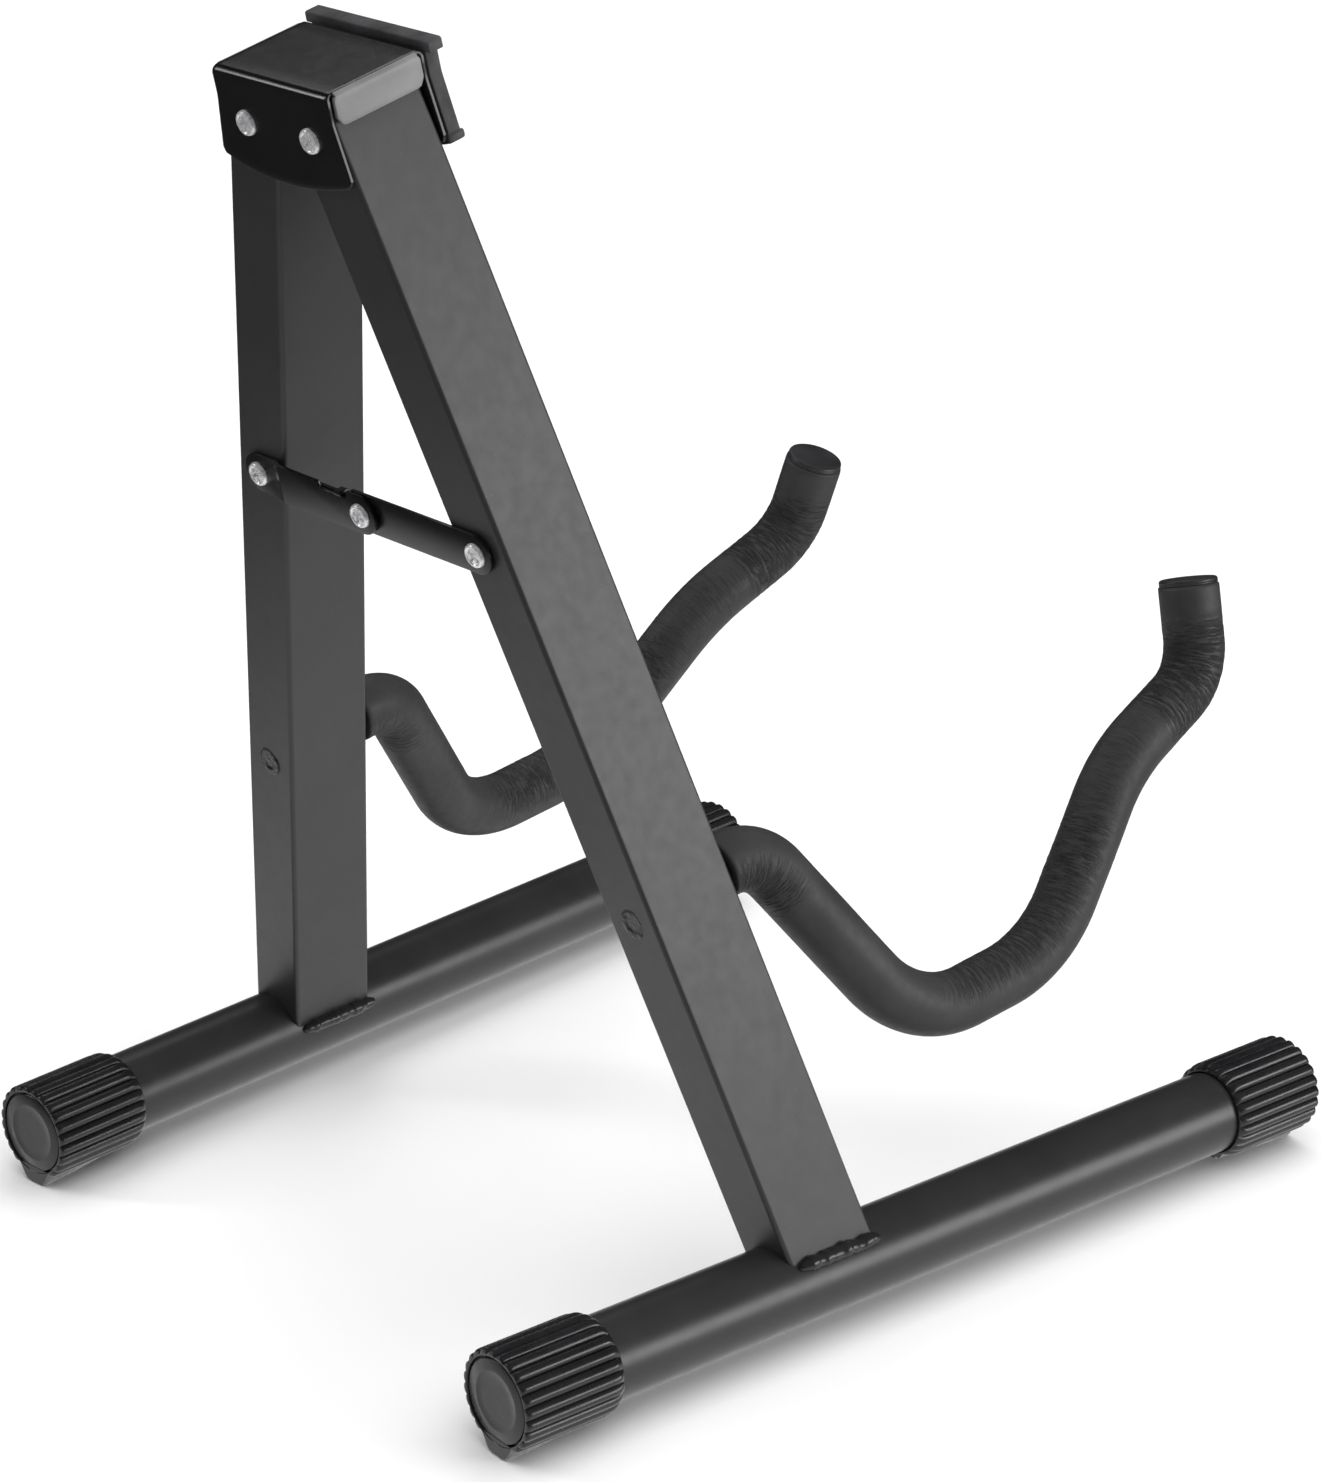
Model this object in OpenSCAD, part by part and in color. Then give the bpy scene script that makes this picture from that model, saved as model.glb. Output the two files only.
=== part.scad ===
// Folding A-frame guitar rack: two splayed rectangular legs hang from a sheet steel
// head, stand on two floor tubes and carry two foam-covered cradle arms.
// X runs across the stand, +Y is the guitar side, +Z is up, Z = 0 is the floor.

/* [A-frame] */
// Backward lean of the plane that holds both legs, degrees
lean = 12.8; // [11.5:0.1:13.5]
// Splay of each leg from the centre plane when open, degrees
splay = 16.8; // [16:0.1:17.6]
// Leg length from its pivot to the axis of its floor tube
leg_len = 352; // [345:1:360]
// Half the distance between the two leg pivots
pivot_half = 13.4; // [13.2:0.1:14]

/* [Legs] */
// Leg tube width, across the stand
leg_w = 20; // [19:0.5:20]
// Leg tube depth, front to back
leg_d = 30; // [29:0.5:30]
// Leg tube wall
leg_wall = 1.5; // [1.2:0.1:2]
// Leg tube corner radius
leg_r = 1.3; // [1.2:0.1:2]
// Leg material above the pivot
leg_top = 8.8; // [8:0.1:9]

/* [Floor tubes] */
// Floor tube diameter
tube_d = 25; // [24:0.5:25.4]
// Floor tube wall
tube_wall = 1.5; // [1.2:0.1:2]
// Length from the leg to the rear face of the rear cap
tube_back = 115.5; // [105:0.5:120]
// Length from the leg to the front face of the front cap
tube_front = 191; // [175:1:195]

/* [End caps] */
// Cap length
cap_len = 34; // [30:1:40]
// Radius over the ribs
cap_r = 15; // [14.8:0.1:15.4]
// Radius between the ribs
cap_valley = 13.7; // [13.6:0.1:14.2]
// Height of the tube axis above the floor
foot_h = 17.3; // [16.8:0.1:18]
// Ribs round a full turn
rib_count = 24; // [18:2:30]

/* [Head bracket] */
// Sheet thickness
sheet = 1.2; // [1:0.1:1.4]
// Half the width of the head over its side lips
head_half = 25; // [24.8:0.1:26]
// Top face height above the pivots
head_top = 14.4; // [14.2:0.1:15]
// Gap between a leg face and the flange beside it
head_gap = 0.5; // [0.4:0.1:0.8]
// Side lip height
lip_h = 9.2; // [8:0.1:10]

/* [Cradle arms] */
// Arm rod diameter
rod_d = 8; // [7:0.5:8]
// Distance of the arm below the leg pivot
arm_drop = 232; // [225:1:240]
// Foam sleeve diameter
foam_d = 18.8; // [18:0.1:20]
// Where the foam starts, ahead of the leg axis
foam_start = 17.2; // [17:0.1:18]

/* [Folding brace] */
// Distance of the brace screws below the leg pivots
link_drop = 118.8; // [116:0.2:124]
// Distance of the brace screws inboard of the leg axis
link_in = 0.9; // [0.5:0.1:2]
// Brace plate width
link_w = 12; // [11:0.5:13]
// Brace plate thickness
link_t = 1.2; // [1:0.1:1.4]

/* [Fasteners] */
// Screw shank diameter
screw_d = 4; // [3.8:0.1:4]
// Screw head diameter
screw_head_d = 7.2; // [7:0.1:8.2]
// Screw head height
screw_head_h = 1.6; // [1.5:0.1:2]

/* [Hidden] */
$fn = 48;

screw_r = screw_d / 2;
run = 0.05;                      // radial running clearance on a pivot
free = 0.1;                      // clearance of a fixed screw in its sheet hole
foam_r = foam_d / 2;
rod_r = rod_d / 2;
tube_r = tube_d / 2;

// Pitch of a floor tube in its leg's frame, and its toe-out on the floor
toe_pitch = atan(tan(lean) / cos(splay));
toe = asin(sin(splay) * sin(toe_pitch));

// Arm route in the arm's plane: [ahead of the leg axis, below the rod hole]; the plane
// leaves the leg turned a little inboard
arm_yaw = 0.55;
arm_tip = [217.9, 8.6];
arm_bends = [[31, 0], [62.6, 74.5], [116.3, 80.8], [167.1, 43.8], [209, 35]];
arm_radii = [18, 37, 48, 60, 20];
plug_stem = 8;                   // plug length inside the sleeve
plug_head = 2;                   // plug thickness beyond the sleeve
tip_dir = unit(arm_tip - arm_bends[4]);

// Heights and depths that follow from the lean and splay
pivot_z = foot_h + leg_len * cos(splay) * cos(lean);
foot_x = pivot_half + leg_len * sin(splay);
foot_dy = leg_len * cos(splay) * sin(lean);
tip_dy = arm_tip[0] * cos(lean)
    + ((arm_drop + arm_tip[1]) * cos(splay) + arm_tip[0] * sin(arm_yaw) * sin(splay)) * sin(lean);
tip_slope = tip_dir[0] * cos(lean) + tip_dir[1] * cos(splay) * sin(lean);
front_dy = tip_dy + foam_r * sqrt(1 - tip_slope * tip_slope);
back_dy = foot_dy - tube_back * cos(toe) - cap_r * sin(toe);
pivot_y = -(front_dy + back_dy) / 2;
foot_y = pivot_y + foot_dy;

// Head bracket layers, front to back
flange_in = leg_d / 2 + head_gap;
flange_out = flange_in + sheet;
bend_r = 2;                      // outer bend radius of the sheet
flange_top_half = 24.2;          // half width of a flange beside the lips
flange_low_half = 27.1;          // half width at the flared lower corners
flare_top = 6;                   // height where the flare starts
flare_low = -9.8;                // height of the lower corners
belly_low = -15.3;               // lowest point of the bottom edge
belly_r = 89;                    // radius of the bottom edge
lip_corner = 2.5;                // radius of a lip's lower corners

// Pad layers
pad_back = flange_out;
pad_front = 22;
pad_recess = 0.9;                // how far the pad's edge stands off the flange
nut_h = 3.2;
nut_af = 7;
thin_nut_h = 2.2;
collar_r = 3.4;                  // riveted collar of the middle pivot, clear of both legs when folded
collar_h = 1.6;

// Brace: half its open length, its layers and its stop
link_half = pivot_half + link_drop * sin(splay) - link_in * cos(splay);
link_z = -(link_drop * cos(splay) + link_in * sin(splay));
link_gap = 0.5;
link_in_y = -(leg_d / 2 + link_gap);
link_mid_gap = 0.3;
link_out_y = link_in_y - link_t - link_mid_gap;
joggle_from = 8.5;
joggle_to = 11.5;
notch_from = -17.2;               // notch, measured from the middle screw
notch_to = -4.9;
notch_depth = 2;
tab_from = -9.8;                // stop tab, measured from the middle screw
tab_to = -6.8;
tail_len = 21.5;                 // right plate beyond the middle screw
washer_t = 0.4;
washer_r = 4.5;

function unit(v) = v / norm(v);
function turn(u, v) = acos(u * v);
function side_sign(u, v) = (u[0] * v[1] - u[1] * v[0]) > 0 ? 1 : -1;
function arc_points(c, r, a0, a1, n) = [for (i = [0:n]) c + r * [cos(a0 + (a1 - a0) * i / n),
    sin(a0 + (a1 - a0) * i / n)]];
function rounded_rect(w, h, r, n = 6) = concat(
    arc_points([w / 2 - r, h / 2 - r], r, 0, 90, n),
    arc_points([r - w / 2, h / 2 - r], r, 90, 180, n),
    arc_points([r - w / 2, r - h / 2], r, 180, 270, n),
    arc_points([w / 2 - r, r - h / 2], r, 270, 360, n));

// Frames -----------------------------------------------------------------

// The leaning plane: X across, Y out of the plane to the guitar side, Z up the plane
module plane() translate([0, pivot_y, pivot_z]) rotate([lean, 0, 0]) children();

// One side of the stand: 1 is right, -1 is left
module on_side(s) mirror([s < 0 ? 1 : 0, 0, 0]) children();

// A leg's own frame: pivot at the origin, X outboard, Z up the leg
module leg_frame(s) plane() on_side(s) translate([pivot_half, 0, 0]) rotate([0, -splay, 0])
    children();

// A floor tube's frame in its leg: Y along the tube
module tube_frame(s) leg_frame(s) translate([0, 0, -leg_len]) rotate([-toe_pitch, 0, 0])
    children();

// A floor tube's frame with Z straight up, for the caps
module floor_frame(s) on_side(s) translate([foot_x, foot_y, foot_h]) rotate([0, 0, -toe])
    children();

// The right brace plate's frame: Z up the plane, origin at the right brace screw
module link_frame(s) plane() on_side(s) translate([link_half, 0, link_z]) children();

// Shared shapes ------------------------------------------------------------

module along_y(y0, y1, r) translate([0, y0, 0]) rotate([-90, 0, 0]) cylinder(h = y1 - y0, r = r);

module ring_y(y0, y1, r_out, r_in) difference() {
    along_y(y0, y1, r_out);
    along_y(y0 - 1, y1 + 1, r_in);
}

module hex_nut(y0, y1, bore_r) difference() {
    translate([0, y0, 0]) rotate([-90, 0, 0])
        linear_extrude(y1 - y0) circle(r = nut_af / sqrt(3), $fn = 6);
    along_y(y0 - 1, y1 + 1, bore_r);
}

// Pan head screw with a cross recess; its head starts at head_y and points to -Y
module pan_screw(head_y, tip_y) {
    dome_r = (pow(screw_head_d / 2, 2) + pow(screw_head_h, 2)) / (2 * screw_head_h);
    along_y(head_y, tip_y, screw_r);
    difference() {
        intersection() {
            translate([0, head_y + dome_r - screw_head_h, 0]) sphere(r = dome_r);
            along_y(head_y - screw_head_h - 1, head_y, screw_head_d / 2 - 0.2);
        }
        for (a = [0, 90]) rotate([0, 45 + a, 0])
            translate([-2, head_y - screw_head_h - 1, -0.45]) cube([4, 1 + 1.1, 0.9]);
    }
}

// Round bar or sleeve along a bent route in the Y-Z plane; pts are [y, depth below].
// Each straight runs a little way into its bends, which are a hair thinner, so that
// the pieces join cleanly.
lap = 1;
hair = 0.1;

module bent_sleeve(pts, radii, r_out, r_in) {
    last = len(pts) - 1;
    p = [for (q = pts) [q[0], -q[1]]];
    dirs = [for (i = [0:last - 1]) unit(p[i + 1] - p[i])];
    cut = [for (i = [0:last]) i == 0 || i == last ? 0
        : radii[i - 1] * tan(turn(dirs[i - 1], dirs[i]) / 2)];
    for (i = [0:last - 1]) {
        a = p[i] + dirs[i] * (cut[i] - (i > 0 ? lap : 0));
        b = p[i + 1] - dirs[i] * (cut[i + 1] - (i + 1 < last ? lap : 0));
        translate([0, a[0], a[1]]) rotate([atan2(dirs[i][1], dirs[i][0]) - 90, 0, 0])
            bar_piece(norm(b - a), r_out, r_in);
    }
    for (i = [1:last - 1]) {
        u = dirs[i - 1];
        s = side_sign(u, dirs[i]);
        swing = turn(u, dirs[i]);
        left = [-u[1], u[0]];
        c = p[i] - u * cut[i] + left * s * radii[i - 1];
        a0 = atan2(-s * left[1], -s * left[0]);
        translate([0, c[0], c[1]]) rotate([90, 0, 90]) rotate([0, 0, s > 0 ? a0 : a0 - swing])
            rotate_extrude(angle = swing) translate([radii[i - 1], 0]) difference() {
                circle(r = r_out - hair);
                if (r_in > 0) circle(r = r_in + hair);
            }
    }
}

module bar_piece(h, r_out, r_in) difference() {
    cylinder(h = h, r = r_out);
    if (r_in > 0) translate([0, 0, -1]) cylinder(h = h + 2, r = r_in);
}

// Head ---------------------------------------------------------------------

flange_outline = concat(
    [[-flange_top_half, head_top - bend_r], [-flange_top_half, flare_top],
        [-flange_low_half, flare_low], [-flange_low_half + 0.8, flare_low - 1.4]],
    [for (i = [-8:8]) let (x = i * 3.2) [x, belly_low + belly_r - sqrt(belly_r * belly_r - x * x)]],
    [[flange_low_half - 0.8, flare_low - 1.4], [flange_low_half, flare_low],
        [flange_top_half, flare_top], [flange_top_half, head_top - bend_r]]);

module flange(y0) translate([0, y0 + sheet, 0]) rotate([90, 0, 0]) linear_extrude(sheet)
    difference() {
        polygon(flange_outline);
        for (s = [-1, 1]) translate([s * pivot_half, 0]) circle(r = screw_r + free);
    }

// A quarter bend along +X that turns a top plate at +Y down
module bend(len) rotate([90, 0, 90]) rotate_extrude(angle = 90) translate([bend_r - sheet, 0])
    square([sheet, len]);

module lip() translate([head_half - sheet, 0, 0]) rotate([90, 0, 90]) linear_extrude(sheet)
    polygon(concat(
        [[lip_end, head_top - bend_r], [-lip_end, head_top - bend_r]],
        arc_points([lip_corner - lip_end, head_top - lip_h + lip_corner], lip_corner, 180, 270, 6),
        arc_points([lip_end - lip_corner, head_top - lip_h + lip_corner], lip_corner, 270, 360, 6)));

lip_end = flange_in - 0.7;       // half the length of a side lip
plate_half = head_half - bend_r;
plate_end = flange_out - bend_r;

module top_bracket() color("#26272a") plane() {
    translate([-plate_half, -plate_end, head_top - sheet])
        cube([2 * plate_half, 2 * plate_end, sheet]);
    for (a = [0, 180]) rotate([0, 0, a]) {
        translate([-plate_half, plate_end, head_top - bend_r]) bend(2 * plate_half);
        translate([plate_half, lip_end - 0.6, head_top - bend_r]) rotate([0, 0, -90])
            bend(2 * lip_end - 1.2);
        lip();
    }
    flange(flange_in);
    flange(-flange_out);
}

module pad_outline(grow) polygon([for (q = flange_outline)
    [q[0] + grow * sign(q[0]), q[1] + (q[1] < flare_low - 1.5 ? -grow : 0)]]);

module front_pad() color("#38393c") plane() difference() {
    union() {
        translate([0, pad_front, 0]) rotate([90, 0, 0])
            linear_extrude(pad_front - pad_back - pad_recess) pad_outline(-0.4);
        translate([0, pad_back + pad_recess, 0]) rotate([90, 0, 0])
            linear_extrude(pad_recess) pad_outline(-3);
        translate([-26, pad_back + 0.5, head_top - bend_r]) cube([52, pad_front - pad_back, bend_r + 1.6]);
        translate([0, pad_front + 1.2, 0]) rotate([90, 0, 0])
            linear_extrude(pad_front + 1.2 - pad_back - 0.5) intersection() {
                pad_outline(1);
                translate([-40, belly_low - 5]) square([80, 5 + 3.2]);
            }
    }
    for (s = [-1, 1]) translate([s * pivot_half, 0, 0])
        along_y(pad_back - 1, flange_out + nut_h + 0.5, nut_af / sqrt(3) + 0.5);
}

module pivot_screws() color("#d8d9dc") plane() for (s = [-1, 1]) translate([s * pivot_half, 0, 0])
    pan_screw(-flange_out, flange_out + nut_h);

module pivot_nuts() color("#bfc0c4") plane() for (s = [-1, 1]) translate([s * pivot_half, 0, 0])
    hex_nut(flange_out, flange_out + nut_h, screw_r);

module pivot_washers() color("#e8e8e6") plane() for (s = [-1, 1], f = [-1, 1])
    translate([s * pivot_half, 0, 0]) ring_y(f * (flange_in - washer_t / 2 - run) - washer_t / 2,
        f * (flange_in - washer_t / 2 - run) + washer_t / 2, washer_r, screw_r + free);

// Legs and floor tubes -------------------------------------------------------

module leg_bar(w, d, r, z0, z1) translate([0, 0, z0]) linear_extrude(z1 - z0)
    polygon(rounded_rect(w, d, r));

module leg(s) leg_frame(s) difference() {
    leg_bar(leg_w, leg_d, leg_r, -leg_len, leg_top);
    leg_bar(leg_w - 2 * leg_wall, leg_d - 2 * leg_wall, leg_r - 1, -leg_len - 1, leg_top + 1);
    translate([0, 0, -leg_len]) rotate([-toe_pitch, 0, 0]) {
        along_y(-40, 40, tube_r + run);
        translate([-20, -40, -30]) cube([40, 80, 30]);
    }
    along_y(-leg_d, leg_d, screw_r + run);
    translate([0, 0, -arm_drop]) along_y(-leg_d, leg_d, rod_r + 0.3);
    translate([-link_in, 0, -link_drop]) along_y(-leg_d, 0, screw_r + free);
}

module left_leg() color("#2b2c2f") leg(-1);
module right_leg() color("#2b2c2f") leg(1);

module floor_tube(s) tube_frame(s) ring_y(-tube_back + 3.2, tube_front - 3.2, tube_r, tube_r - tube_wall);

module left_floor_tube() color("#232427") floor_tube(-1);
module right_floor_tube() color("#232427") floor_tube(1);

// A fillet weld down each wide face of the leg where it meets the tube
module tube_weld(s) {
    bead = 2.2;
    seam_z = sqrt(tube_r * tube_r - leg_w * leg_w / 4);
    difference() {
        tube_frame(s) for (f = [-1, 1]) translate([f * leg_w / 2, 0, seam_z])
            along_y(-leg_d / 2 + 2, leg_d / 2 - 2, bead);
        tube_frame(s) along_y(-leg_d, leg_d, tube_r);
        leg_frame(s) leg_bar(leg_w, leg_d, leg_r, -leg_len - 20, -leg_len + 60);
    }
}

module left_tube_weld() color("#2b2c2f") tube_weld(-1);
module right_tube_weld() color("#2b2c2f") tube_weld(1);

// Ribbed rubber cap: closed end at y = 0, mouth at y = cap_len
rib_steps = 6;
rib_step = 360 / rib_count / rib_steps;
foot_span = 32;                  // half angle under the cap that carries no ribs

function cap_radius(a) = abs(a - 270) < foot_span ? cap_valley
    : cap_valley + (cap_r - cap_valley) * sqrt(abs(sin(a * rib_count / 2)));

module cap() difference() {
    union() {
        translate([0, cap_len, 0]) rotate([90, 0, 0]) linear_extrude(cap_len)
            polygon([for (i = [0:rib_count * rib_steps - 1]) let (a = i * rib_step)
                cap_radius(a) * [cos(a), sin(a)]]);
        intersection() {
            translate([-12, 0, 0]) rotate([90, 0, 90]) linear_extrude(24)
                polygon([[0.6, 0], [0, -foot_h + 1], [1, -foot_h], [4, -foot_h],
                    [cap_len - 1, -cap_r - 0.1], [cap_len, -cap_r + 0.6], [cap_len, 0]]);
            translate([0, cap_len, 0]) rotate([90, 0, 0]) linear_extrude(cap_len)
                polygon([[-7, -10], [-3.2, -foot_h - 1], [3.2, -foot_h - 1], [7, -10]]);
        }
    }
    along_y(3, cap_len + 1, tube_r + run);
    ring_y(-1, 0.8, 13, 12.5);
}

module rear_cap(s) floor_frame(s) translate([0, -tube_back, 0]) cap();
module front_cap(s) floor_frame(s) translate([0, tube_front, 0]) mirror([0, 1, 0]) cap();

module left_rear_cap() color("#1f2022") rear_cap(-1);
module right_rear_cap() color("#1f2022") rear_cap(1);
module left_front_cap() color("#1f2022") front_cap(-1);
module right_front_cap() color("#1f2022") front_cap(1);

// Cradle arms ----------------------------------------------------------------

module arm_frame(s) leg_frame(s) translate([0, 0, -arm_drop]) rotate([0, 0, arm_yaw]) children();

module arm_rod(s) arm_frame(s) bent_sleeve(
    concat([[-leg_d / 2, 0]], arm_bends, [arm_tip - tip_dir * (plug_stem + 1)]), arm_radii, rod_r, 0);

module left_arm_rod() color("#1d1e20") arm_rod(-1);
module right_arm_rod() color("#1d1e20") arm_rod(1);

// Welds that hold the rod: a collar in front of the leg, a part fill in the rear hole
module arm_weld(s) difference() {
    leg_frame(s) translate([0, 0, -arm_drop]) {
        along_y(leg_d / 2, leg_d / 2 + 1.6, rod_r + 1.8);
        translate([0, -leg_d / 2, 0]) rotate([-90, 0, 0]) rotate_extrude(angle = 200)
            translate([rod_r - 0.6, 0]) square([0.9, leg_wall]);
    }
    arm_frame(s) along_y(-leg_d, leg_d, rod_r);
}

module left_arm_weld() color("#1d1e20") arm_weld(-1);
module right_arm_weld() color("#1d1e20") arm_weld(1);

module foam_sleeve(s) arm_frame(s) bent_sleeve(
    concat([[foam_start, 0]], arm_bends, [arm_tip]), arm_radii, foam_r, rod_r + 0.3);

module left_foam_sleeve() color("#3a3b3d") foam_sleeve(-1);
module right_foam_sleeve() color("#3a3b3d") foam_sleeve(1);

module tip_plug(s) arm_frame(s) translate([0, arm_tip[0], -arm_tip[1]])
    rotate([atan2(-tip_dir[1], tip_dir[0]) - 90, 0, 0]) {
        cylinder(h = plug_head, r1 = foam_r - 0.4, r2 = foam_r - 1);
        translate([0, 0, -plug_stem]) cylinder(h = plug_stem, r = rod_r + 0.25);
    }

module left_tip_plug() color("#242527") tip_plug(-1);
module right_tip_plug() color("#242527") tip_plug(1);

// Folding brace ----------------------------------------------------------------

module link_screw(s) leg_frame(s) translate([-link_in, 0, -link_drop])
    pan_screw(link_in_y - link_t - run, -leg_d / 2 + leg_wall + thin_nut_h);

module left_link_screw() color("#d8d9dc") link_screw(-1);
module right_link_screw() color("#d8d9dc") link_screw(1);

module link_nut(s) leg_frame(s) translate([-link_in, 0, -link_drop])
    hex_nut(-leg_d / 2 + leg_wall, -leg_d / 2 + leg_wall + thin_nut_h, screw_r);

module left_link_nut() color("#bfc0c4") link_nut(-1);
module right_link_nut() color("#bfc0c4") link_nut(1);

module link_washer(s) leg_frame(s) translate([-link_in, 0, -link_drop])
    ring_y(-leg_d / 2 - washer_t, -leg_d / 2, washer_r, screw_r + free);

module left_link_washer() color("#e8e8e6") link_washer(-1);
module right_link_washer() color("#e8e8e6") link_washer(1);

// Plate outline along X from the leg screw at 0 to the far end, seen from the rear
module link_outline(length, tail) union() {
    circle(r = link_w / 2);
    translate([0, -link_w / 2]) square([length + tail, link_w]);
    if (tail == 0) translate([length, 0]) circle(r = link_w / 2);
}

module link_holes() for (x = [0, link_half]) translate([x, 0]) circle(r = screw_r + run);

module left_link_plate() color("#26272a") link_frame(-1) mirror([1, 0, 0]) intersection() {
    translate([0, 0, -link_w]) linear_extrude(2 * link_w) polygon([
        [-link_w, link_in_y], [joggle_from, link_in_y], [joggle_to, link_out_y],
        [link_half + link_w, link_out_y], [link_half + link_w, link_out_y - link_t],
        [joggle_to - 0.5, link_out_y - link_t], [joggle_from - 0.5, link_in_y - link_t],
        [-link_w, link_in_y - link_t]]);
    rotate([90, 0, 0]) linear_extrude(40) difference() {
        link_outline(link_half, 0);
        link_holes();
        translate([link_half + notch_from, link_w / 2 - notch_depth])
            square([notch_to - notch_from, notch_depth + 1]);
    }
}

module right_link_plate() color("#26272a") link_frame(1) mirror([1, 0, 0]) {
    translate([0, link_in_y, 0]) rotate([90, 0, 0]) linear_extrude(link_t) difference() {
        link_outline(link_half, tail_len);
        link_holes();
        translate([link_half - notch_to - 0.4, tab_z]) square([tail_len, link_w]);
    }
    translate([link_half - tab_to, link_out_y - link_t - 0.6, tab_z - 0.01])
        cube([tab_to - tab_from, link_in_y - link_out_y + link_t + 0.6, link_t]);
}

tab_z = link_w / 2 - notch_depth + 0.15;

// The middle pivot is split: the screw rides on the left plate, the nut on the right
module middle_link_screw() color("#d8d9dc") link_frame(-1) mirror([1, 0, 0])
    translate([link_half, 0, 0]) pan_screw(link_out_y - link_t, link_out_y - 0.05);

module middle_link_washer() color("#e8e8e6") link_frame(-1) mirror([1, 0, 0])
    translate([link_half, 0, 0]) ring_y(link_out_y, link_out_y + link_mid_gap - 0.1, washer_r, screw_r + free);

module middle_link_nut() color("#bfc0c4") link_frame(1) mirror([1, 0, 0])
    translate([link_half, 0, 0]) {
        along_y(link_in_y, link_in_y + collar_h, collar_r);
        along_y(link_in_y - link_t, link_in_y + 0.5, screw_r);
    }

top_bracket();
front_pad();
pivot_screws();
pivot_nuts();
pivot_washers();
left_leg();
left_floor_tube();
left_tube_weld();
left_rear_cap();
left_front_cap();
left_arm_rod();
left_arm_weld();
left_foam_sleeve();
left_tip_plug();
left_link_screw();
left_link_nut();
left_link_washer();
right_leg();
right_floor_tube();
right_tube_weld();
right_rear_cap();
right_front_cap();
right_arm_rod();
right_arm_weld();
right_foam_sleeve();
right_tip_plug();
right_link_screw();
right_link_nut();
right_link_washer();
left_link_plate();
middle_link_screw();
middle_link_washer();
right_link_plate();
middle_link_nut();
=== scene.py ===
import math

import bmesh
import bpy
from mathutils import Matrix, Vector, noise


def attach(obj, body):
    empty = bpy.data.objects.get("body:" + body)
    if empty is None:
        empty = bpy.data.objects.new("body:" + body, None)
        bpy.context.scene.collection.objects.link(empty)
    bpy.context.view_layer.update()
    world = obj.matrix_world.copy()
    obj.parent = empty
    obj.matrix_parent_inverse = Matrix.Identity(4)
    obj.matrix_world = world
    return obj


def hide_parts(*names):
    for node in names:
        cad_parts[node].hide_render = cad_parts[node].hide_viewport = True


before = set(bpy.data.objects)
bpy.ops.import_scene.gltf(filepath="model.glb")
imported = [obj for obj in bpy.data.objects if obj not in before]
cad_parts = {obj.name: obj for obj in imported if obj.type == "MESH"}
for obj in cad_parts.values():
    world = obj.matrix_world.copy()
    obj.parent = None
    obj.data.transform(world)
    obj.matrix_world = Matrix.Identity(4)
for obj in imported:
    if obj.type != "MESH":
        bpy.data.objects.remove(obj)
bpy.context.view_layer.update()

MM = 0.001

# ---------------------------------------------------------------- dimensions, mm and degrees
LEAN, SPLAY = math.radians(12.8), math.radians(16.8)
PIVOT_HALF, LEG_LEN, FOOT_H = 13.4, 352.0, 17.3
LEG_W, LEG_D = 20.0, 30.0
TUBE_R, TUBE_BACK, TUBE_FRONT, CAP_LEN, CAP_R = 12.5, 115.5, 191.0, 34.0, 15.0
ARM_DROP, FOAM_R, FOAM_BORE, FOAM_START = 232.0, 9.4, 4.3, 17.2
ARM_BENDS = [(31, 0), (62.6, 74.5), (116.3, 80.8), (167.1, 43.8), (209, 35)]
ARM_RADII = [18, 37, 48, 60, 20]
ARM_TIP = (217.9, 8.6)
ARM_YAW = math.radians(0.55)
LINK_DROP, LINK_IN, LINK_W, LINK_T = 118.8, 0.9, 12.0, 1.2
SHEET, FLANGE_IN, HEAD_TOP, HEAD_HALF = 1.2, 15.5, 14.4, 25.0
FLANGE_OUT = FLANGE_IN + SHEET

TOE_PITCH = math.atan(math.tan(LEAN) / math.cos(SPLAY))
TOE = math.asin(math.sin(SPLAY) * math.sin(TOE_PITCH))
PIVOT_Z = FOOT_H + LEG_LEN * math.cos(SPLAY) * math.cos(LEAN)
FOOT_X = PIVOT_HALF + LEG_LEN * math.sin(SPLAY)
FOOT_DY = LEG_LEN * math.cos(SPLAY) * math.sin(LEAN)


def unit(v):
    n = math.hypot(*v)
    return tuple(c / n for c in v)


TIP_DIR = unit((ARM_TIP[0] - ARM_BENDS[4][0], ARM_TIP[1] - ARM_BENDS[4][1]))
TIP_DY = ARM_TIP[0] * math.cos(LEAN) + (
    (ARM_DROP + ARM_TIP[1]) * math.cos(SPLAY)
    + ARM_TIP[0] * math.sin(ARM_YAW) * math.sin(SPLAY)) * math.sin(LEAN)
TIP_SLOPE = TIP_DIR[0] * math.cos(LEAN) + TIP_DIR[1] * math.cos(SPLAY) * math.sin(LEAN)
FRONT_DY = TIP_DY + FOAM_R * math.sqrt(1 - TIP_SLOPE ** 2)
BACK_DY = FOOT_DY - TUBE_BACK * math.cos(TOE) - CAP_R * math.sin(TOE)
PIVOT_Y = -(FRONT_DY + BACK_DY) / 2
FOOT_Y = PIVOT_Y + FOOT_DY

LINK_HALF = PIVOT_HALF + LINK_DROP * math.sin(SPLAY) - LINK_IN * math.cos(SPLAY)
LINK_Z = -(LINK_DROP * math.cos(SPLAY) + LINK_IN * math.sin(SPLAY))
LINK_IN_Y = -15.5
LINK_OUT_Y = LINK_IN_Y - LINK_T - 0.3
NOTCH_FAR, NOTCH_NEAR, NOTCH_DEPTH = 17.2, 4.9, 2.0  # from the middle screw
TAB_FAR, TAB_NEAR, TAIL_LEN, STEP_AT = 9.8, 6.8, 21.5, 4.5

# ---------------------------------------------------------------- frames


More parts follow.
